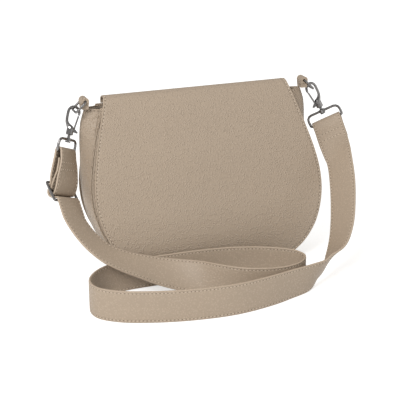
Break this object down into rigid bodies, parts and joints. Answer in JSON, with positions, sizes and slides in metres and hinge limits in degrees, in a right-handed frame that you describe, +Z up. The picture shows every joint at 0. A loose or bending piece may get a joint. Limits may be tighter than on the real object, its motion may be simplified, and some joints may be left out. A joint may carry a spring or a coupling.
{
  "type": "shoulder bag",
  "caption": "Soft flap shoulder bag with a rounded front flap, folded side gussets and a wide detachable strap with trigger snap hooks and a slider buckle",
  "frame": {"origin": "on the floor, on the flat of the bag's base and in the middle of its width", "axes": "+X along the bag's width, +Y from the flap's front to the back panel, +Z up"},
  "size_m": [0.3062, 0.1627, 0.1715],
  "materials": {
    "taupe_leather": "pebbled taupe leather, semi-matt",
    "strap_leather": "pebbled taupe leather, stitched along both edges",
    "lining_cloth": "plain woven lining, matt",
    "board": "plain stiffener board",
    "nickel": "polished nickel plating",
    "snap_steel": "polished nickel-plated steel"
  },
  "bodies": {
    "bag": {"back_panel": "taupe_leather", "front_panel": "taupe_leather", "gusset": "taupe_leather", "lining_front": "lining_cloth", "lining_back": "lining_cloth", "lining_gusset": "lining_cloth", "inner_pocket": "lining_cloth", "base_board": "board", "snap_socket": "snap_steel", "socket_washer": "snap_steel", "tab_left": "taupe_leather", "tab_right": "taupe_leather", "strap": "strap_leather", "slider_frame": "nickel", "slider_bar": "nickel"},
    "flap": {"flap": "taupe_leather", "flap_lining": "lining_cloth", "snap_stud": "snap_steel", "stud_washer": "snap_steel"},
    "ring_left": {"ring_left": "nickel"},
    "bail_left": {"bail_left": "nickel"},
    "hook_left": {"hook_left": "nickel", "gate_pin_left": "nickel"},
    "gate_left": {"gate_left": "nickel"},
    "ring_right": {"ring_right": "nickel"},
    "bail_right": {"bail_right": "nickel"},
    "hook_right": {"hook_right": "nickel", "gate_pin_right": "nickel"},
    "gate_right": {"gate_right": "nickel"}
  },
  "joints": [
    {"name": "flap_hinge", "type": "hinge", "parent": "bag", "child": "flap", "pos_m": [0, 0.03397, 0.16205], "axis": [-1, 0, 0], "range_deg": [0, 180], "deforming": ["strap"]},
    {"name": "bail_left_swing", "type": "hinge", "parent": "bag", "child": "bail_left", "pos_m": [-0.13265, 0.01182, 0.12361], "axis": [0.6308, 0.6828, -0.3687], "range_deg": [-2.5, 2.5]},
    {"name": "ring_left_swing", "type": "hinge", "parent": "bag", "child": "ring_left", "pos_m": [-0.1115, 0.01998, 0.1675], "axis": [0, 1, 0], "range_deg": [-5.5, 5.5]},
    {"name": "hook_left_swivel", "type": "hinge", "parent": "bail_left", "child": "hook_left", "pos_m": [-0.12917, 0.01426, 0.13408], "axis": [0.3079, 0.2159, 0.9266], "range_deg": [-20, 20]},
    {"name": "gate_left_press", "type": "hinge", "parent": "hook_left", "child": "gate_left", "pos_m": [-0.12392, 0.01602, 0.14164], "axis": [0, -0.9739, 0.2269], "range_deg": [0, 25], "stiffness_Nm_per_rad": 0.01, "springref_deg": -22.92},
    {"name": "bail_right_swing", "type": "hinge", "parent": "bag", "child": "bail_right", "pos_m": [0.13612, 0.01158, 0.12502], "axis": [0.7794, -0.4282, 0.4573], "range_deg": [-2.5, 2.5]},
    {"name": "ring_right_swing", "type": "hinge", "parent": "bag", "child": "ring_right", "pos_m": [0.1115, 0.01998, 0.1675], "axis": [0, 1, 0], "range_deg": [-5.5, 5.5]},
    {"name": "hook_right_swivel", "type": "hinge", "parent": "bail_right", "child": "hook_right", "pos_m": [0.1316, 0.01409, 0.13507], "axis": [-0.3997, 0.2223, 0.8893], "range_deg": [-20, 20]},
    {"name": "gate_right_press", "type": "hinge", "parent": "hook_right", "child": "gate_right", "pos_m": [0.12562, 0.01584, 0.14206], "axis": [0, 0.9701, -0.2425], "range_deg": [0, 25], "stiffness_Nm_per_rad": 0.01, "springref_deg": -22.92}
  ],
  "couplings": [
    {"joint": "ring_left_swing", "follows": "bail_left_swing", "ratio": -2},
    {"joint": "ring_right_swing", "follows": "bail_right_swing", "ratio": 2}
  ]
}
